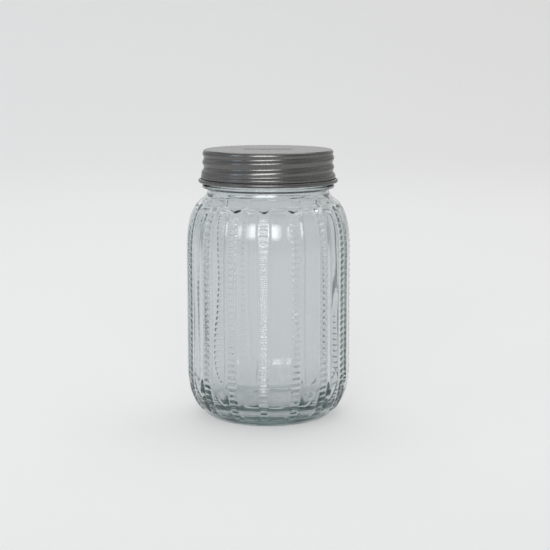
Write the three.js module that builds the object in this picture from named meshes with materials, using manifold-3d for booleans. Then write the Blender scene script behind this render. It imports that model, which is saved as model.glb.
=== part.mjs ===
// Coin bank jar: a round-shouldered glass jar with sixteen upright ribs, and a one-piece
// rolled-thread metal lid with a coin slot and a loose sealing liner.
// Millimetres, +Z up. The origin is on the jar's axis, in the plane that the jar stands on.
// Angles are counted from the front (-Y) towards the right (+X).

import * as THREE from 'three';
import { mergeVertices } from 'three/addons/utils/BufferGeometryUtils.js';
import Module from 'manifold-3d';

const wasm = await Module();
wasm.setup();

// ---- driving dimensions -------------------------------------------------------------------

const totalHeight = 175;
const body = { radius: 53.4, wall: 3.6 };
const foot = { innerRadius: 31, outerRadius: 34.8, pushUp: 2.4, pushUpRadius: 22 };
const heel = { height: 32, floor: 9, floorRadius: 31, innerHeight: 22 };
const shoulder = { start: 108, top: 144.2, axisRadius: 38, power: 2.4 };
const neck = { radius: 39.4, bottom: 148.2 };
const ring = { radius: 43, bottom: 150.4, top: 152.4 };
const finish = { radius: 39.9, mouthRadius: 35.6, lip: 1 };
const rib = { count: 16, turn: -3, halfWidth: 3, foot: 1.3, height: 0.7, bottom: 14, top: 138 };

const thread = { pitch: 6, crestHeight: 163.6, bottom: 159, top: 172, fade: 2.6, depth: 1.8 };

const lid = {
  radius: 42.2, sheet: 0.4, cornerRadius: 1.8, ripple: 0.5, columns: 44,
  flareTop: 162.5, flareBottom: 157.6, flareRadius: 43.6, curlRadius: 1.3, curlHeight: 154.9,
};
const slot = { length: 32, width: 4.6 };
const liner = { outerRadius: 41, innerRadius: 36.3, thickness: 0.6, columns: 48 };
const gap = 0.3; // between pieces that touch
const columns = rib.count * 4; // facets round the glass

const lidUnderside = totalHeight - lid.sheet;
const rimHeight = lidUnderside - liner.thickness - 2 * gap;
const curlCentreRadius = 45.3 - lid.curlRadius;

// ---- outlines and surface shapes ------------------------------------------------------------

const degrees = THREE.MathUtils.degToRad;
const point = (radius, height) => new THREE.Vector2(radius, height);
const step = (low, high, value) => THREE.MathUtils.smoothstep(value, low, high);

// 1 at the crest of the helix and -1 half way between two turns; a right-hand thread.
function helix(angle, height) {
  const crest = thread.crestHeight + thread.pitch * (angle / (2 * Math.PI) - 0.25);
  return Math.cos((2 * Math.PI * (height - crest)) / thread.pitch);
}

// A stretch of an ellipse from one angle to another, in even steps, ends included.
function ellipseArc(centre, radius, height, from, to, steps) {
  const points = [];
  for (let i = 0; i <= steps; i++) {
    const angle = degrees(from + ((to - from) * i) / steps);
    points.push(point(centre.x + radius * Math.cos(angle), centre.y + height * Math.sin(angle)));
  }
  return points;
}

// The shoulder is a quarter of a superellipse, from the wall up to just short of the neck.
function shoulderArc(radius, top, steps, last) {
  const points = [];
  for (let i = 0; i <= steps; i++) {
    const angle = degrees((last * i) / steps);
    const out = Math.cos(angle) ** (2 / shoulder.power);
    const up = Math.sin(angle) ** (2 / shoulder.power);
    points.push(point(
      shoulder.axisRadius + (radius - shoulder.axisRadius) * out,
      shoulder.start + (top - shoulder.start) * up,
    ));
  }
  return points;
}

function evenHeights(radius, from, to, spacing) {
  const count = Math.max(1, Math.round(Math.abs(to - from) / spacing));
  return Array.from({ length: count + 1 }, (_, i) => point(radius, from + ((to - from) * i) / count));
}

// Turns an outline round +Z and then moves each point: place(radius, height, angle, column,
// row) gives its new radius and angle, where row counts the outline's points.
function turned(outline, count, place) {
  const geometry = new THREE.LatheGeometry(outline, count);
  geometry.rotateX(Math.PI / 2);
  geometry.deleteAttribute('normal');
  geometry.deleteAttribute('uv');
  const places = geometry.attributes.position;
  for (let i = 0; i < places.count; i++) {
    const row = i % outline.length;
    const column = Math.floor(i / outline.length) % count;
    const height = places.getZ(i);
    const moved = place(outline[row].x, height, (2 * Math.PI * column) / count, column, row);
    places.setXYZ(i, moved.radius * Math.sin(moved.angle), -moved.radius * Math.cos(moved.angle), height);
  }
  return mergeVertices(geometry, 1e-4);
}

const inPlace = (radius, height, angle) => ({ radius, angle });

// ---- solids ---------------------------------------------------------------------------------

function toSolid(geometry) {
  return new wasm.Manifold(new wasm.Mesh({
    numProp: 3,
    vertProperties: new Float32Array(geometry.attributes.position.array),
    triVerts: new Uint32Array(geometry.index.array),
  }));
}

function toGeometry(solid) {
  const mesh = solid.getMesh();
  const geometry = new THREE.BufferGeometry();
  geometry.setAttribute('position', new THREE.BufferAttribute(mesh.vertProperties, 3));
  geometry.setIndex(new THREE.BufferAttribute(mesh.triVerts, 1));
  return geometry;
}

// ---- glass jar ------------------------------------------------------------------------------

const innerRadius = body.radius - body.wall;

const glassOutside = [
  point(0, foot.pushUp),
  ...ellipseArc(point(foot.pushUpRadius, 0), foot.innerRadius - foot.pushUpRadius, foot.pushUp, 90, 0, 3),
  ...ellipseArc(point(foot.outerRadius, heel.height), body.radius - foot.outerRadius, heel.height, -90, 0, 6),
  ...shoulderArc(body.radius, shoulder.top, 7, 84),
];

const glassRing = [
  point(neck.radius + 0.6, neck.bottom - 2.2),
  point(neck.radius, neck.bottom),
  point(ring.radius, ring.bottom),
  point(ring.radius, ring.top - 0.5),
  point(ring.radius - 0.6, ring.top),
  point(finish.radius, ring.top + 1),
];

const glassThread = evenHeights(finish.radius, thread.bottom, thread.top, 1.2);

const lipCentre = rimHeight - finish.lip;
const glassLip = [
  ...ellipseArc(point(finish.radius - finish.lip, lipCentre), finish.lip, finish.lip, 0, 90, 2),
  ...ellipseArc(point(finish.mouthRadius + finish.lip, lipCentre), finish.lip, finish.lip, 90, 180, 2),
];

const floorTop = point(heel.floorRadius, heel.floor + heel.innerHeight);

const glassInside = [
  point(finish.mouthRadius, neck.bottom - 3),
  ...shoulderArc(innerRadius, shoulder.top - body.wall, 5, 70).reverse(),
  ...ellipseArc(floorTop, innerRadius - heel.floorRadius, heel.innerHeight, 0, -90, 4),
  point(0, heel.floor),
];

// Where each rib's facets turn: the rib's two edges, then the two edges of the next panel.
const panelEdge = rib.halfWidth + rib.foot;
const ribEdges = [-rib.halfWidth, rib.halfWidth, panelEdge, 360 / rib.count - panelEdge];

// Facets are even at the foot and the neck, and gather at the ribs' edges in between. The
// panels lie a little below the ribs, and the thread stands on the finish.
function placeGlass(radius, height, angle, column, row) {
  const edge = column % ribEdges.length;
  const ribAngle = degrees(rib.turn + (360 / rib.count) * Math.floor(column / ribEdges.length));
  const evenAngle = ribAngle + ((edge - 0.5) * 2 * Math.PI) / columns;
  const edgeAngle = ribAngle + degrees(ribEdges[edge]);
  const ribbed = step(0, rib.bottom, height) * (1 - step(rib.top, shoulder.top, height));
  const placed = { radius, angle: THREE.MathUtils.lerp(evenAngle, edgeAngle, ribbed) };
  const onPanel = radius > foot.outerRadius && row < glassOutside.length && edge >= 2;
  if (onPanel) placed.radius -= rib.height * ribbed;
  const threadRow = row - glassOutside.length - glassRing.length;
  if (threadRow >= 0 && threadRow < glassThread.length) {
    const share = step(thread.bottom, thread.bottom + thread.fade, height)
      * (1 - step(thread.top - thread.fade, thread.top, height));
    placed.radius += thread.depth * share * ((1 + helix(placed.angle, height)) / 2) ** 2;
  }
  return placed;
}

function glassJar() {
  const outline = [...glassOutside, ...glassRing, ...glassThread, ...glassLip, ...glassInside];
  return turned(outline, columns, placeGlass);
}

// ---- screw lid ------------------------------------------------------------------------------

// The lid's wall at a height, before the thread is rolled into it; inset is 0 outside and
// the sheet's thickness inside.
function lidWall(height, inset) {
  const flare = 1 - step(lid.flareBottom, lid.flareTop, height);
  return lid.radius + (lid.flareRadius - lid.radius) * flare - inset;
}

function lidOutline() {
  const corner = point(lid.radius - lid.cornerRadius, totalHeight - lid.cornerRadius);
  const innerCorner = lid.cornerRadius - lid.sheet;
  const curl = point(curlCentreRadius, lid.curlHeight);
  const wallTop = totalHeight - lid.cornerRadius - 1;
  const heights = evenHeights(0, wallTop, lid.flareBottom, 1.2).map((place) => place.y);
  return [
    point(0, lidUnderside),
    ...ellipseArc(corner, innerCorner, innerCorner, 90, 0, 2),
    ...heights.map((height) => point(lidWall(height, lid.sheet), height)),
    point(curl.x - lid.sheet - 0.3, curl.y + 0.4),
    ...ellipseArc(curl, lid.curlRadius, lid.curlRadius, 190, 400, 7),
    ...heights.map((height) => point(lidWall(height, 0), height)).reverse(),
    ...ellipseArc(corner, lid.cornerRadius, lid.cornerRadius, 0, 90, 3),
    point(0, totalHeight),
  ];
}

function placeLid(radius, height, angle) {
  const share = step(lid.flareBottom, lid.flareBottom + thread.fade, height)
    * (1 - step(thread.top - 0.5, thread.top + 1.5, height));
  return { radius: radius + lid.ripple * share * helix(angle, height), angle };
}

// A straight slot with round ends, cut along X through the middle of the lid's top.
function slotCutter() {
  const half = slot.length / 2 - slot.width / 2;
  const outline = new THREE.Shape();
  outline.absarc(half, 0, slot.width / 2, -Math.PI / 2, Math.PI / 2, false);
  outline.absarc(-half, 0, slot.width / 2, Math.PI / 2, (3 * Math.PI) / 2, false);
  outline.closePath();
  const depth = 4;
  const cutter = new THREE.ExtrudeGeometry(outline, { depth, bevelEnabled: false, curveSegments: 6 });
  cutter.translate(0, 0, totalHeight - depth / 2);
  cutter.deleteAttribute('normal');
  cutter.deleteAttribute('uv');
  return mergeVertices(cutter, 1e-4);
}

function screwLid() {
  const shell = toSolid(turned(lidOutline(), lid.columns, placeLid));
  return toGeometry(shell.subtract(toSolid(slotCutter())));
}

// ---- liner ----------------------------------------------------------------------------------

function lidLiner() {
  const bottom = rimHeight + gap;
  const outline = [
    point(liner.innerRadius, bottom),
    point(liner.outerRadius, bottom),
    point(liner.outerRadius, bottom + liner.thickness),
    point(liner.innerRadius, bottom + liner.thickness),
    point(liner.innerRadius, bottom),
  ];
  return turned(outline, liner.columns, inPlace);
}

// ---- assembly -------------------------------------------------------------------------------

const glass = new THREE.MeshStandardMaterial({ color: 0xc4d0cd, roughness: 0.05, metalness: 0 });
glass.transparent = true;
glass.opacity = 0.4;
const pewter = new THREE.MeshStandardMaterial({ color: 0x7d7d7c, roughness: 0.42, metalness: 0.9 });
const sealing = new THREE.MeshStandardMaterial({ color: 0xd9d4c6, roughness: 0.7, metalness: 0 });

function piece(name, geometry, material) {
  const mesh = new THREE.Mesh(geometry, material);
  mesh.name = name;
  return mesh;
}

const coinBankJar = new THREE.Group();
const lidGroup = new THREE.Group();
coinBankJar.add(piece('glass_jar', glassJar(), glass), lidGroup);
lidGroup.add(
  piece('lid_liner', lidLiner(), sealing),
  piece('screw_lid', screwLid(), pewter),
);

export default coinBankJar;
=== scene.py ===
import math

import bpy
import numpy as np
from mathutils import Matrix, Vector


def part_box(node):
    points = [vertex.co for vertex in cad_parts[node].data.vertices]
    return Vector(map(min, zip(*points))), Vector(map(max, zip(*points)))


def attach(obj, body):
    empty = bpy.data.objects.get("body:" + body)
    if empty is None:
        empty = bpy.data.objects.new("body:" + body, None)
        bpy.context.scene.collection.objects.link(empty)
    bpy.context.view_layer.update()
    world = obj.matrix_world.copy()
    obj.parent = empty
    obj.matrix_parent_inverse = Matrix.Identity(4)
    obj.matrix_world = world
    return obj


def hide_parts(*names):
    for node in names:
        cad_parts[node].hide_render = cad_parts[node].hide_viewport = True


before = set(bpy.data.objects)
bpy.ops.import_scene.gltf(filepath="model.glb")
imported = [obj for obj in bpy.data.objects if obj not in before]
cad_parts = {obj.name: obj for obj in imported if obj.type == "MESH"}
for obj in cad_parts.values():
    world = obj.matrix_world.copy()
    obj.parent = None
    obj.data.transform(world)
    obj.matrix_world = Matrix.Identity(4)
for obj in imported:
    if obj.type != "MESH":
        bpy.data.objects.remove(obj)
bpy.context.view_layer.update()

# Lengths below are in millimetres and are turned into metres as each mesh is made. Angles
# round the jar are in degrees, from the front (-Y) towards the right (+X).
MM = 0.001

# ---- sizes that the CAD parts' boxes give -----------------------------------------------


def box_mm(node):
    low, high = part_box(node)
    return np.array(low) / MM, np.array(high) / MM


jar_high = box_mm("glass_jar")[1]
lid_low, lid_high = box_mm("screw_lid")
liner_low, liner_high = box_mm("lid_liner")

BODY_RADIUS = jar_high[0]
RIM_HEIGHT = jar_high[2]
LID_TOP = lid_high[2]
CURL_RADIUS = 1.3
CURL_HEIGHT = lid_low[2] + CURL_RADIUS
CURL_CENTRE = lid_high[0] - CURL_RADIUS

# ---- sizes shared with the CAD ----------------------------------------------------------

WALL = 3.6
FOOT_INNER, FOOT_OUTER, PUSH_UP, PUSH_UP_RADIUS = 31.0, 34.8, 2.4, 22.0
HEEL_HEIGHT, FLOOR_HEIGHT, FLOOR_RADIUS, INNER_HEEL = 32.0, 9.0, 31.0, 22.0
SHOULDER_START, SHOULDER_TOP, SHOULDER_AXIS, SHOULDER_POWER = 108.0, 144.2, 38.0, 2.4
NECK_RADIUS, NECK_HEIGHT = 39.4, 148.2
RING_RADIUS, RING_BOTTOM, RING_TOP = 43.0, 150.4, 152.4
FINISH_RADIUS, MOUTH_RADIUS, LIP = 39.9, 35.6, 1.0

PITCH, CREST_HEIGHT = 6.0, 163.6
THREAD_BOTTOM, THREAD_TOP, THREAD_FADE, THREAD_DEPTH = 159.0, 172.0, 2.6, 1.8

RIBS, RIB_TURN = 16, -3.0
RIB_PITCH = 360.0 / RIBS

LID_RADIUS, SHEET, LID_CORNER, RIPPLE = 42.2, 0.4, 1.8, 0.5
FLARE_TOP, FLARE_BOTTOM, FLARE_RADIUS = 162.5, 157.6, 43.6
SLOT_LENGTH, SLOT_WIDTH = 32.0, 4.6

# ---- helpers ----------------------------------------------------------------------------


def step(low, high, value):
    """0 below low, 1 above high, and smooth between."""
    t = np.clip((value - low) / (high - low), 0.0, 1.0)
    return t * t * (3.0 - 2.0 * t)


def helix(angle, height):
    """1 at the crest of the right-hand thread, -1 half way between two turns."""
    crest = CREST_HEIGHT + PITCH * (angle / 360.0 - 0.25)
    return np.cos(2.0 * math.pi * (height - crest) / PITCH)


def arc(centre, radii, start, end, steps):
    """A stretch of an ellipse as rows of (radius, height)."""
    angle = np.radians(np.linspace(start, end, steps + 1))
    return np.column_stack((
        centre[0] + radii[0] * np.cos(angle), centre[1] + radii[1] * np.sin(angle),
    ))


def shoulder(radius, top, steps, last):
    """Part of a superellipse from the wall up towards the neck, as far round as last degrees."""
    angle = np.radians(np.linspace(0.0, last, steps + 1))
    out = np.cos(angle) ** (2.0 / SHOULDER_POWER)
    up = np.sin(angle) ** (2.0 / SHOULDER_POWER)
    return np.column_stack((
        SHOULDER_AXIS + (radius - SHOULDER_AXIS) * out,
        SHOULDER_START + (top - SHOULDER_START) * up,
    ))


def bezier(start, pull, end, steps):
    """A curve from start to end that leaves and arrives pointing at pull."""
    t = np.linspace(0.0, 1.0, steps + 1)[:, None]
    start, pull, end = (np.array(place) for place in (start, pull, end))
    return (1 - t) ** 2 * start + 2 * t * (1 - t) * pull + t ** 2 * end


def lengths(points):
    """How far along the outline each point is."""
    return np.concatenate(([0.0], np.cumsum(np.hypot(*np.diff(points, axis=0).T))))


def evened(points, spacing):
    """The same outline with points about this far apart."""
    along = lengths(points)
    places = np.linspace(0.0, along[-1], max(2, round(along[-1] / spacing) + 1))
    return np.column_stack([np.interp(places, along, points[:, axis]) for axis in (0, 1)])


def joined(*stretches):
    """Stretches of outline end to end, without the doubled points between them."""
    points = np.vstack(stretches)
    keep = np.concatenate(([True], np.hypot(*np.diff(points, axis=0).T) > 1e-6))
    return points[keep]


def outward(points):
    """Unit normals of an outline, to the right of its direction of travel."""
    along = np.gradient(points, axis=0)
    along /= np.hypot(along[:, 0], along[:, 1])[:, None]
    return np.column_stack((along[:, 1], -along[:, 0]))


def mesh_object(name, places, faces, material):
    """A smooth-shaded object from places in millimetres."""
    mesh = bpy.data.meshes.new(name)
    mesh.from_pydata((np.asarray(places) * MM).tolist(), [], faces)
    mesh.materials.append(material)
    mesh.shade_smooth()
    mesh.validate()
    piece = bpy.data.objects.new(name, mesh)
    bpy.context.scene.collection.objects.link(piece)
    return piece


def grid_faces(rows, columns, wrap_rows):
    """Quads between closed rings of points; wrap_rows joins the last ring to the first."""
    last = rows if wrap_rows else rows - 1
    faces = []
    for row in range(last):
        low, high = row * columns, ((row + 1) % rows) * columns
        for column in range(columns):
            after = (column + 1) % columns
            faces.append((low + column, low + after, high + after, high + column))
    return faces


def rings(name, radii, heights, angles, material, wrap_rows=False):
    """A turned mesh. radii and heights are (rows, columns) arrays, and angles one per column.
    Without wrap_rows, the first and last rings shrink to a point on the axis."""
    turn = np.radians(angles)[None, :]
    places = np.stack((radii * np.sin(turn), -radii * np.cos(turn), heights + 0 * turn), axis=-1)
    rows, columns = places.shape[:2]
    if wrap_rows:
        return mesh_object(name, places.reshape(-1, 3), grid_faces(rows, columns, True), material)
    inner = places[1:-1]
    faces = grid_faces(rows - 2, columns, False)
    bottom, top = (rows - 2) * columns, (rows - 2) * columns + 1
    last_ring = (rows - 3) * columns
    for column in range(columns):
        after = (column + 1) % columns
        faces.append((bottom, after, column))
        faces.append((top, last_ring + column, last_ring + after))
    places = np.vstack((inner.reshape(-1, 3), places[0, :1], places[-1, :1]))
    return mesh_object(name, places, faces, material)


def turned_out(piece):
    """Turns a closed mesh's faces so that they all point out."""
    mesh = piece.data
    corners = np.empty(len(mesh.vertices) * 3)
    mesh.vertices.foreach_get("co", corners)
    corners = corners.reshape(-1, 3)
    mesh.calc_loop_triangles()
    triangles = np.empty(len(mesh.loop_triangles) * 3, dtype=np.int32)
    mesh.loop_triangles.foreach_get("vertices", triangles)
    a, b, c = corners[triangles.reshape(-1, 3)].transpose(1, 0, 2)
    if np.einsum("ij,ij->i", a, np.cross(b, c)).sum() < 0:
        mesh.flip_normals()
    return piece


# ---- materials --------------------------------------------------------------------------


def new_material(name):
    material = bpy.data.materials.new(name)
    material.use_nodes = True
    tree = material.node_tree
    return material, tree, tree.nodes["Principled BSDF"]


def add(tree, kind, values=None, **settings):
    """A node with its settings, and its sockets set by name."""
    node = tree.nodes.new(kind)
    for setting, value in settings.items():
        setattr(node, setting, value)
    for socket, value in (values or {}).items():
        node.inputs[socket].default_value = value
    return node


def stretched(tree, scale):
    """The piece's own coordinates, in metres, scaled along each axis."""
    coordinates = add(tree, "ShaderNodeTexCoord")
    mapping = add(tree, "ShaderNodeMapping", {"Scale": scale})
    tree.links.new(coordinates.outputs["Object"], mapping.inputs["Vector"])
    return mapping.outputs["Vector"]


def noise(tree, vector, scale, detail=3.0, roughness=0.5):
    node = add(tree, "ShaderNodeTexNoise", {"Scale": scale, "Detail": detail, "Roughness": roughness})
    tree.links.new(vector, node.inputs["Vector"])
    return node.outputs["Fac"]


def between(tree, factor, low, high, from_low=0.0, from_high=1.0):
    node = add(tree, "ShaderNodeMapRange", {
        "From Min": from_low, "From Max": from_high, "To Min": low, "To Max": high,
    })
    tree.links.new(factor, node.inputs["Value"])
    return node.outputs["Result"]


def colour_between(tree, factor, first, second):
    node = add(tree, "ShaderNodeMix", data_type="RGBA")
    node.inputs["A"].default_value = (*first, 1.0)
    node.inputs["B"].default_value = (*second, 1.0)
    tree.links.new(factor, node.inputs["Factor"])
    return node.outputs["Result"]


def bumped(tree, height, strength, distance):
    node = add(tree, "ShaderNodeBump", {"Strength": strength, "Distance": distance})
    tree.links.new(height, node.inputs["Height"])
    return node.outputs["Normal"]


def clear_glass():
    material, tree, shader = new_material("clear_glass")
    shader.inputs["Base Color"].default_value = (0.862, 0.874, 0.884, 1.0)
    shader.inputs["Transmission Weight"].default_value = 1.0
    shader.inputs["Roughness"].default_value = 0.0
    shader.inputs["IOR"].default_value = 1.52
    absorption = add(tree, "ShaderNodeVolumeAbsorption", {
        "Color": (0.70, 0.757, 0.752, 1.0), "Density": 58.0,
    })
    output = tree.nodes["Material Output"]
    tree.links.new(absorption.outputs["Volume"], output.inputs["Volume"])
    waves = noise(tree, stretched(tree, (1.0, 1.0, 0.5)), 60.0, 1.0)
    tree.links.new(bumped(tree, waves, 0.2, 0.0006), shader.inputs["Normal"])
    return material


def pewter_metal():
    material, tree, shader = new_material("pewter_metal")
    shader.inputs["Metallic"].default_value = 1.0
    cloud = noise(tree, stretched(tree, (1.0, 1.0, 1.0)), 45.0, 4.0, 0.6)
    grain = noise(tree, stretched(tree, (1.0, 1.0, 9.0)), 420.0, 5.0, 0.65)
    colour = colour_between(tree, cloud, (0.13, 0.13, 0.129), (0.185, 0.182, 0.177))
    tree.links.new(colour, shader.inputs["Base Color"])
    tree.links.new(between(tree, grain, 0.22, 0.32), shader.inputs["Roughness"])
    shader.inputs["Specular Tint"].default_value = (0.85, 0.85, 0.85, 1.0)
    return material


def sealing_liner():
    material, tree, shader = new_material("sealing_liner")
    speckle = noise(tree, stretched(tree, (1.0, 1.0, 1.0)), 600.0, 4.0)
    colour = colour_between(tree, speckle, (0.62, 0.59, 0.52), (0.72, 0.69, 0.62))
    tree.links.new(colour, shader.inputs["Base Color"])
    tree.links.new(between(tree, speckle, 0.5, 0.75), shader.inputs["Roughness"])
    tree.links.new(bumped(tree, speckle, 0.2, 0.0001), shader.inputs["Normal"])
    return material


# ---- glass jar --------------------------------------------------------------------------

# Columns gather at each rib, where the ladder's edges are, and spread over the panel.
COLUMN_OFFSETS = [
    -4.7, -4.1, -3.5, -2.9, -2.2, -1.1, 0.0, 1.1, 2.2, 2.9, 3.5, 4.1, 4.7, 7.4, 11.25, 15.1,
]
ROW_SPACING, INNER_ROW_SPACING, WALL_ROW_SPACING = 0.66, 1.6, 4.0
THREAD_ROWS = 26

# How far round its curve the shoulder runs before it gives way to the neck, in degrees, and
# the hollow curve that joins the two.
SHOULDER_TURN = 72
COVE_PULL_OUT, COVE_PULL_UP = 0.7, 0.7
COVE_OUT, COVE_DROP = 0.15, 0.2

# The inside of the shoulder is lower than the outside and has its own curve to the mouth.
INNER_SHOULDER_TOP, INNER_SHOULDER_TURN = 139.6, 62
INNER_NECK_BOTTOM, INNER_NECK_PULL = NECK_HEIGHT - 0.8, 145.0
FLOOR_CROWN = ((24.0, 0.1), (16.0, 0.35), (8.0, 0.5), (0.0, 0.55))

# The pattern on the outside. Places along it are measured up the outline from the foot, and
# places across it in degrees from the middle of a rib.
PATTERN_FOOT, PATTERN_BOTTOM, PATTERN_TOP = 2.0, 12.0, 150.5
GROOVE, GROOVE_FADE = 0.7, 1.9
RUNG_PITCH, RUNG_RISE, RUNG_EDGE, RUNG_SOFTNESS = 3.95, 0.7, 2.8, 0.5
LADDER_FADE_START, LADDER_FADE_END = 6.0, 2.0
PANEL_RISE, PANEL_EDGE, PILLOW = 0.7, 4.3, 0.12
PANEL_RIM_INNER, PANEL_RIM_OUTER = 0.93, 1.05
ARCH, SCALLOP = 5.5, 2.6

# Waves in the inside: depth, waves round the jar, change of phase for each millimetre up, and
# phase at the bottom.
WAVES = (
    (0.10, 5, 0.011, 0.7),
    (0.07, 9, -0.023, 2.1),
    (0.05, 16, 0.0, 0.4),
    (0.04, 23, 0.05, 4.0),
    (0.05, 2, 0.09, 1.0),
)


def sunk(along, angles):
    """How far the outside lies below its outline, in millimetres. A groove goes all round, and
    pillowed panels with arched ends and a ladder of rungs up each rib stand up in it. Its upper
    edge is scalloped: lowest at each rib and highest between two. along is the way up."""
    offset = (angles - RIB_TURN + RIB_PITCH / 2) % RIB_PITCH - RIB_PITCH / 2
    beside = np.abs(offset)[None, :]
    across = (RIB_PITCH / 2 - beside) / (RIB_PITCH / 2 - PANEL_EDGE)
    along = along[:, None]
    edge = PATTERN_TOP - SCALLOP * (1 - beside / (RIB_PITCH / 2)) ** 3
    past_top = np.maximum(0.0, along - (edge - ARCH)) / ARCH
    past_bottom = np.maximum(0.0, (PATTERN_BOTTOM + ARCH) - along) / ARCH
    reach = (across ** 3 + past_top ** 3 + past_bottom ** 3) ** (1 / 3)
    pillow = PANEL_RISE - PILLOW * np.minimum(reach, 1.0) ** 2
    panel = (1 - step(PANEL_RIM_INNER, PANEL_RIM_OUTER, reach)) * pillow
    rung = 0.5 - 0.5 * np.cos(2 * math.pi * (along - PATTERN_BOTTOM) / RUNG_PITCH)
    rung = RUNG_RISE * rung * (1 - step(RUNG_EDGE - RUNG_SOFTNESS, RUNG_EDGE + RUNG_SOFTNESS, beside))
    rung = rung * step(PATTERN_BOTTOM, PATTERN_BOTTOM + 1, along)
    rung = rung * (1 - step(edge - LADDER_FADE_START, edge - LADDER_FADE_END, along))
    groove = GROOVE * step(PATTERN_FOOT, PATTERN_BOTTOM, along)
    groove = groove * (1 - step(edge - GROOVE_FADE, edge + GROOVE_FADE, along))
    return np.maximum(0.0, groove - panel - rung)


def waviness(angles, heights):
    """Slow flow lines in the inside of the glass, in millimetres."""
    turn = np.radians(angles)[None, :]
    high = heights[:, None]
    return sum(
        depth * np.sin(around * turn + upward * high + phase)
        for depth, around, upward, phase in WAVES
    )


def glass_jar(material):
    angles = np.concatenate([
        RIB_TURN + rib * RIB_PITCH + np.array(COLUMN_OFFSETS) for rib in range(RIBS)
    ])
    inner_radius = BODY_RADIUS - WALL

    underside = joined(
        np.array([[0.0, PUSH_UP], [8.0, PUSH_UP], [16.0, PUSH_UP]]),
        arc((PUSH_UP_RADIUS, 0.0), (FOOT_INNER - PUSH_UP_RADIUS, PUSH_UP), 90, 0, 8),
        np.array([[FOOT_INNER + 1.4, 0.0], [FOOT_OUTER - 1.4, 0.0]]),
    )
    outside = evened(joined(
        arc((FOOT_OUTER, HEEL_HEIGHT), (BODY_RADIUS - FOOT_OUTER, HEEL_HEIGHT), -90, 0, 60),
        shoulder(BODY_RADIUS, SHOULDER_TOP, 120, SHOULDER_TURN),
    ), ROW_SPACING)
    neck_foot = (NECK_RADIUS + COVE_OUT, NECK_HEIGHT - COVE_DROP)
    cove_pull = (NECK_RADIUS + COVE_PULL_OUT, SHOULDER_TOP + COVE_PULL_UP)
    ring_foot = (NECK_RADIUS, RING_BOTTOM - 0.8)
    neck = joined(
        bezier(outside[-1], cove_pull, neck_foot, 9),
        bezier(neck_foot, (NECK_RADIUS, RING_BOTTOM - 1.2), ring_foot, 2),
        bezier(ring_foot, (NECK_RADIUS, RING_BOTTOM), (NECK_RADIUS + 0.9, RING_BOTTOM), 3),
        arc((RING_RADIUS - 0.7, RING_BOTTOM + 0.7), (0.7, 0.7), -90, 0, 4),
        arc((RING_RADIUS - 0.8, RING_TOP - 0.8), (0.8, 0.8), 0, 80, 4),
        bezier(
            (RING_RADIUS - 1.4, RING_TOP), (FINISH_RADIUS, RING_TOP),
            (FINISH_RADIUS, RING_TOP + 2.0), 5,
        ),
    )[1:]
    thread = np.column_stack((
        np.full(THREAD_ROWS, FINISH_RADIUS), np.linspace(THREAD_BOTTOM, THREAD_TOP, THREAD_ROWS),
    ))
    lip_centre = RIM_HEIGHT - LIP
    lip = joined(
        arc((FINISH_RADIUS - LIP, lip_centre), (LIP, LIP), 0, 90, 5),
        arc((MOUTH_RADIUS + LIP, lip_centre), (LIP, LIP), 90, 180, 5),
    )
    floor_top = (FLOOR_RADIUS, FLOOR_HEIGHT + INNER_HEEL)
    inner_shoulder = shoulder(inner_radius, INNER_SHOULDER_TOP, 40, INNER_SHOULDER_TURN)[::-1]
    inner_neck = bezier(
        (MOUTH_RADIUS, INNER_NECK_BOTTOM), (MOUTH_RADIUS, INNER_NECK_PULL), inner_shoulder[0], 12,
    )
    inner_wall = np.array([[inner_radius, SHOULDER_START], [inner_radius, floor_top[1]]])
    inner_heel = arc(floor_top, (inner_radius - FLOOR_RADIUS, INNER_HEEL), 0, -90, 60)
    inside = joined(
        evened(joined(inner_neck, inner_shoulder), INNER_ROW_SPACING),
        evened(inner_wall, WALL_ROW_SPACING),
        evened(inner_heel, 1.8),
        np.array([[radius, FLOOR_HEIGHT + rise] for radius, rise in FLOOR_CROWN]),
    )

    outline = np.vstack((underside, outside, neck, thread, lip, inside))
    first = len(underside)
    radii = np.repeat(outline[:, :1], len(angles), axis=1)
    heights = np.repeat(outline[:, 1:], len(angles), axis=1)

    normals = outward(outside)
    below = sunk(lengths(outside), angles)
    rows = slice(first, first + len(outside))
    radii[rows] -= below * normals[:, :1]
    heights[rows] -= below * normals[:, 1:]

    first += len(outside) + len(neck)
    rows = slice(first, first + len(thread))
    high = thread[:, 1:]
    share = step(THREAD_BOTTOM, THREAD_BOTTOM + THREAD_FADE, high)
    share = share * (1 - step(THREAD_TOP - THREAD_FADE, THREAD_TOP, high))
    radii[rows] += THREAD_DEPTH * share * ((1 + helix(angles[None, :], high)) / 2) ** 2

    first += len(thread) + len(lip)
    rows = slice(first, first + len(inside))
    in_body = step(0.0, 12.0, inside[:, 0])
    in_body = in_body * (1 - step(NECK_HEIGHT - 8, NECK_HEIGHT, inside[:, 1]))
    radii[rows] += in_body[:, None] * waviness(angles, inside[:, 1])
    return rings("jar_glass", radii, heights, angles, material)


# ---- screw lid --------------------------------------------------------------------------

LID_COLUMNS = 256
# The slot's edge is rolled down into a short flange: how far the roll spreads out, how deep the
# flange hangs, and how far the roll drops on the top and on the underside.
SLOT_ROLL, SLOT_FLANGE, TOP_ROLL_DROP, UNDER_ROLL_DROP = 0.7, 0.9, 0.5, 0.3


def lid_wall(height, inset):
    """The lid's wall before the thread is rolled in: straight, then flared to the skirt."""
    flare = 1 - step(FLARE_BOTTOM, FLARE_TOP, height)
    return LID_RADIUS + (FLARE_RADIUS - LID_RADIUS) * flare - inset


def wall_rows(inset):
    heights = np.linspace(LID_TOP - LID_CORNER - 0.3, FLARE_BOTTOM, 48)
    return np.column_stack((lid_wall(heights, inset), heights))


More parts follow.
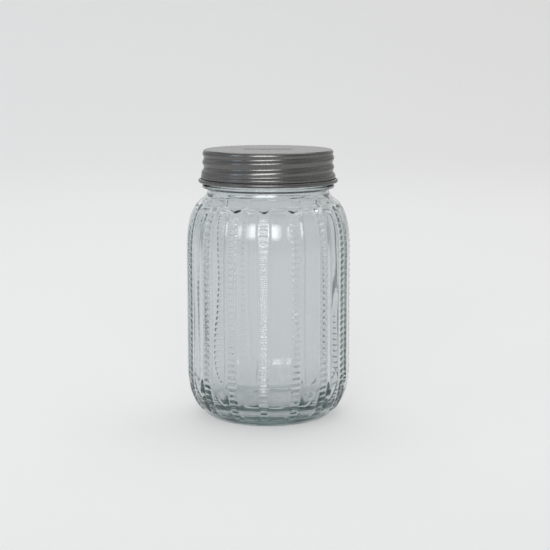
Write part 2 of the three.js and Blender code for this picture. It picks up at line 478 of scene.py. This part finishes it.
def slot_outline(angles, grow):
    """Points round the coin slot, one for each angle: a long shape with round ends, widened by
    grow all round."""
    radius = SLOT_WIDTH / 2
    straight = SLOT_LENGTH / 2 - radius
    quarter = straight + radius * math.pi / 2
    turn = np.radians(angles)
    quadrant = np.abs((turn + math.pi / 2) % math.pi - math.pi / 2)
    far = (math.pi / 2 - quadrant) / (math.pi / 2) * quarter
    bend = np.minimum(far, radius * math.pi / 2) / radius
    run = np.maximum(0.0, far - radius * math.pi / 2)
    x = straight - run + (radius + grow) * np.cos(bend)
    y = (radius + grow) * np.sin(bend)
    x = np.where(far > radius * math.pi / 2, straight - run, x)
    y = np.where(far > radius * math.pi / 2, radius + grow, y)
    return x * np.sign(np.sin(turn) + 1e-9), -y * np.sign(np.cos(turn) + 1e-9)


def screw_lid(material):
    angles = (np.arange(LID_COLUMNS) + 0.5) * 360.0 / LID_COLUMNS
    turn = np.radians(angles)
    flat_radius = LID_RADIUS - LID_CORNER
    corner = (flat_radius, LID_TOP - LID_CORNER)
    curl = (CURL_CENTRE, CURL_HEIGHT)
    roll_start, roll_end = 180, 460
    inner_roll = CURL_RADIUS - SHEET

    outer = joined(
        arc(corner, (LID_CORNER, LID_CORNER), 90, 0, 8),
        wall_rows(0.0),
        bezier(
            (lid_wall(FLARE_BOTTOM, 0.0), FLARE_BOTTOM), (FLARE_RADIUS - 0.1, FLARE_BOTTOM - 1.2),
            (curl[0] - inner_roll, curl[1]), 6,
        ),
        arc(curl, (inner_roll, inner_roll), roll_start, roll_end, 22),
    )
    inner = joined(
        arc(curl, (CURL_RADIUS, CURL_RADIUS), roll_end, roll_start, 24),
        bezier(
            (curl[0] - CURL_RADIUS, curl[1]), (FLARE_RADIUS - SHEET - 0.1, FLARE_BOTTOM - 1.2),
            (lid_wall(FLARE_BOTTOM, SHEET), FLARE_BOTTOM), 6,
        ),
        wall_rows(SHEET)[::-1],
        arc(corner, (LID_CORNER - SHEET, LID_CORNER - SHEET), 0, 90, 6),
    )

    def rippled(points):
        high = points[:, 1:]
        share = step(FLARE_BOTTOM, FLARE_BOTTOM + THREAD_FADE, high)
        share = share * (1 - step(THREAD_TOP - 0.5, THREAD_TOP + 1.5, high))
        return points[:, :1] + RIPPLE * share * helix(angles[None, :], high)

    def round_rows(points):
        radii = rippled(points)
        x, y = radii * np.sin(turn), -radii * np.cos(turn)
        return np.stack((x, y, np.repeat(points[:, 1:], LID_COLUMNS, axis=1)), axis=-1)

    def plate_row(share, grow, height):
        """A ring of the top, from its round edge at share 0 to the slot's outline at share 1."""
        slot_x, slot_y = slot_outline(angles, grow)
        x = (1 - share) * flat_radius * np.sin(turn) + share * slot_x
        y = -(1 - share) * flat_radius * np.cos(turn) + share * slot_y
        return np.stack((x, y, np.full(LID_COLUMNS, height)), axis=-1)

    under = LID_TOP - SHEET
    roll = np.radians(np.linspace(0, 90, 9))
    top_plate = [plate_row(share, SLOT_ROLL, LID_TOP) for share in np.linspace(0.06, 0.94, 15)]
    top_roll = [
        plate_row(1.0, SLOT_ROLL * (1 - math.sin(a)), LID_TOP - TOP_ROLL_DROP * (1 - math.cos(a)))
        for a in roll
    ]
    flange = [
        plate_row(1.0, 0.0, LID_TOP - SLOT_FLANGE),
        plate_row(1.0, SHEET * 0.5, LID_TOP - SLOT_FLANGE - 0.1),
        plate_row(1.0, SHEET, LID_TOP - SLOT_FLANGE),
    ]
    under_roll = [
        plate_row(
            1.0, SHEET + (SLOT_ROLL - SHEET) * (1 - math.sin(a)),
            under - UNDER_ROLL_DROP * (1 - math.cos(a)),
        )
        for a in roll[::-1]
    ]
    under_plate = [plate_row(share, SLOT_ROLL, under) for share in np.linspace(0.94, 0.06, 8)]
    rows = np.stack(
        list(round_rows(outer))[::-1] + top_plate + top_roll + flange + under_roll + under_plate
        + list(round_rows(inner))[::-1]
    )
    faces = grid_faces(len(rows), LID_COLUMNS, True)
    return mesh_object("lid_shell", rows.reshape(-1, 3), faces, material)


# ---- liner ------------------------------------------------------------------------------

LINER_COLUMNS, LINER_INNER, LINER_PRESS = 160, 36.3, 0.14


def lid_liner(material):
    """A flat soft ring with rounded edges, a little pressed in where the jar's rim bears."""
    angles = np.arange(LINER_COLUMNS) * 360.0 / LINER_COLUMNS
    outer, bottom, top = liner_high[0], liner_low[2], liner_high[2]
    inner, edge = LINER_INNER, (top - bottom) / 2
    middle = (bottom + top) / 2
    under = np.linspace(inner + edge, outer - edge, 18)
    off_rim = np.abs(under - (MOUTH_RADIUS + FINISH_RADIUS) / 2)
    pressed = LINER_PRESS * step(0.0, 0.8, 1.6 - off_rim)
    outline = joined(
        np.column_stack((under, bottom + pressed)),
        arc((outer - edge, middle), (edge, edge), -90, 90, 8),
        np.column_stack((np.linspace(outer - edge, inner + edge, 4), np.full(4, top))),
        arc((inner + edge, middle), (edge, edge), 90, 270, 8),
    )[:-1]
    radii = np.repeat(outline[:, :1], len(angles), axis=1)
    heights = np.repeat(outline[:, 1:], len(angles), axis=1)
    return rings("seal_ring", radii, heights, angles, material, wrap_rows=True)


# ---- stage ------------------------------------------------------------------------------

# The floor's glow at the front and the back, how many times brighter the top of the wall is,
# what share of it is left far out to each side, and the ceiling's.
FRONT_GLOW, BACK_GLOW, WALL_GLOW, SIDE_GLOW, CEILING_GLOW = 0.12, 0.38, 2.6, 0.45, 0.5
WINDOW_RADIANCE, SIDE_RADIANCE, OVERHEAD_RADIANCE = 7.0, 3.0, 1.5

# Where each of those changes happens, in metres.
TINT_SPAN, DEPTH_SPAN, WALL_SPAN, SIDE_SPAN = (-1.5, 1.5), (-2.0, -0.1), (0.4, 1.0), (0.8, 1.8)


def pale_stage():
    """A pale floor that sweeps up into a wall all round. Its glow is painted light, as from a light
    table: weaker towards the front as painted shade for a room darker on the camera's side, brighter up
    the wall, dimmer far out to each side, cool to the left and warm to the right. Its colour is painted
    darker towards the front as the same shade."""
    material, tree, shader = new_material("pale_stage")
    shader.inputs["Roughness"].default_value = 0.9
    shader.inputs["Specular IOR Level"].default_value = 0.0
    coordinates = add(tree, "ShaderNodeTexCoord")
    separate = add(tree, "ShaderNodeSeparateXYZ")
    tree.links.new(coordinates.outputs["Object"], separate.inputs["Vector"])
    # Painted light colour: the glow is cool towards the left and warm towards the right.
    towards_right = between(tree, separate.outputs["X"], 0.0, 1.0, *TINT_SPAN)
    tint = colour_between(tree, towards_right, (0.965, 0.99, 1.0), (0.90, 0.885, 0.86))
    tree.links.new(tint, shader.inputs["Emission Color"])
    towards_back = between(tree, separate.outputs["Y"], 0.0, 1.0, *DEPTH_SPAN)
    up_the_wall = between(tree, separate.outputs["Z"], 1.0, WALL_GLOW, *WALL_SPAN)
    sideways = add(tree, "ShaderNodeMath", operation="ABSOLUTE")
    tree.links.new(separate.outputs["X"], sideways.inputs[0])
    out_wide = between(tree, sideways.outputs["Value"], 1.0, SIDE_GLOW, *SIDE_SPAN)
    glow = add(tree, "ShaderNodeMath", operation="MULTIPLY")
    tree.links.new(between(tree, towards_back, FRONT_GLOW, BACK_GLOW), glow.inputs[0])
    tree.links.new(up_the_wall, glow.inputs[1])
    dimmed = add(tree, "ShaderNodeMath", operation="MULTIPLY")
    tree.links.new(glow.outputs["Value"], dimmed.inputs[0])
    tree.links.new(out_wide, dimmed.inputs[1])
    tree.links.new(dimmed.outputs["Value"], shader.inputs["Emission Strength"])
    # Painted shade: the floor's colour is darker towards the front, for a room darker on the camera's
    # side.
    colour = colour_between(tree, towards_back, (0.33, 0.33, 0.33), (0.5, 0.5, 0.5))
    tree.links.new(colour, shader.inputs["Base Color"])
    flat, sweep, height = 2.2, 1.2, 1.8
    outline = joined(
        np.column_stack((np.linspace(0.0, flat, 24), np.zeros(24))),
        arc((flat, sweep), (sweep, sweep), -90, 0, 24),
        np.array([[flat + sweep, height]]),
    ) / MM
    sides = 96
    turn = np.radians(np.arange(sides) * 360.0 / sides)
    places = np.stack((
        outline[1:, :1] * np.sin(turn), -outline[1:, :1] * np.cos(turn),
        np.repeat(outline[1:, 1:], sides, axis=1),
    ), axis=-1).reshape(-1, 3)
    faces = grid_faces(len(outline) - 1, sides, False) + [tuple(range(sides))[::-1]]
    stage = mesh_object("pale_stage", places, faces, material)


def fade_out(lamp, edge):
    """Makes an area lamp fade out over the outer part of its width and height."""
    lamp.use_nodes = True
    tree = lamp.node_tree
    emission = tree.nodes["Emission"]
    geometry = add(tree, "ShaderNodeNewGeometry")
    separate = add(tree, "ShaderNodeSeparateXYZ")
    tree.links.new(geometry.outputs["Parametric"], separate.inputs["Vector"])
    both = add(tree, "ShaderNodeMath", operation="MULTIPLY")
    for socket, axis in enumerate("XY"):
        off_middle = add(tree, "ShaderNodeMath", {1: 0.5}, operation="SUBTRACT")
        tree.links.new(separate.outputs[axis], off_middle.inputs[0])
        distance = add(tree, "ShaderNodeMath", operation="ABSOLUTE")
        tree.links.new(off_middle.outputs["Value"], distance.inputs[0])
        fade = add(tree, "ShaderNodeMapRange", {
            "From Min": 0.5 - edge, "From Max": 0.5, "To Min": 1.0, "To Max": 0.0,
        }, interpolation_type="SMOOTHSTEP")
        tree.links.new(distance.outputs["Value"], fade.inputs["Value"])
        tree.links.new(fade.outputs["Result"], both.inputs[socket])
    tree.links.new(both.outputs["Value"], emission.inputs["Strength"])


def soft_light(name, place, target, size, radiance, soft_edge=0.0, colour=(1.0, 1.0, 1.0)):
    lamp = bpy.data.lights.new(name, "AREA")
    lamp.shape = "RECTANGLE"
    lamp.size, lamp.size_y = size
    lamp.color = colour
    lamp.energy = radiance * math.pi * size[0] * size[1]
    if soft_edge:
        fade_out(lamp, soft_edge)
    light = bpy.data.objects.new(name, lamp)
    light.location = place
    light.rotation_euler = (Vector(target) - Vector(place)).to_track_quat("-Z", "Y").to_euler()
    light.visible_camera = False
    bpy.context.scene.collection.objects.link(light)


def studio_world():
    """What is above the stage's wall: a dim pale ceiling."""
    world = bpy.data.worlds.new("studio")
    bpy.context.scene.world = world
    world.use_nodes = True
    background = world.node_tree.nodes["Background"]
    background.inputs["Color"].default_value = (0.97, 0.985, 1.0, 1.0)
    background.inputs["Strength"].default_value = CEILING_GLOW


def lights():
    """A wide window behind the camera, a cool side light, and a large soft light overhead."""
    target = Vector((0.0, 0.0, 0.13))
    up, left, far = math.radians(17.5), math.radians(6.0), 2.0
    towards = Vector((
        -math.sin(left) * math.cos(up), -math.cos(left) * math.cos(up), math.sin(up),
    ))
    window = target + far * towards
    soft_light("window", window, target, (2.1, 0.95), WINDOW_RADIANCE, 0.3)
    soft_light("side", (-1.75, -1.15, 0.75), target, (1.0, 0.8), SIDE_RADIANCE, 0.35, (0.72, 0.86, 1.0))
    soft_light("overhead", (0.1, 0.9, 2.1), (0.0, 0.0, 0.0), (2.4, 1.6), OVERHEAD_RADIANCE)


def camera():
    """A long lens about a metre away, level with a point above the lid and looking down a little."""
    distance, elevation = 0.95, math.radians(8.85)
    aim = Vector((0.0044, 0.0, 0.0925))
    lens = bpy.data.cameras.new("camera")
    lens.lens = 94.8
    lens.sensor_width = 36.0
    eye = bpy.data.objects.new("camera", lens)
    eye.location = aim + Vector((0.0, -distance * math.cos(elevation), distance * math.sin(elevation)))
    eye.rotation_euler = (aim - eye.location).to_track_quat("-Z", "Y").to_euler()
    bpy.context.scene.collection.objects.link(eye)
    bpy.context.scene.camera = eye


# ---- assembly ---------------------------------------------------------------------------

scene = bpy.context.scene
scene.view_settings.view_transform = "Standard"
# Light needs many bounces to find its way out of thick ribbed glass.
scene.cycles.max_bounces, scene.cycles.glossy_bounces, scene.cycles.transmission_bounces = 40, 24, 32
camera()
studio_world()
lights()
pale_stage()

for maker, surface, node, body in (
    (glass_jar, clear_glass, "glass_jar", "jar"),
    (lid_liner, sealing_liner, "lid_liner", "seal"),
    (screw_lid, pewter_metal, "screw_lid", "lid"),
):
    made = turned_out(maker(surface()))
    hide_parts(node)
    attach(made, body)
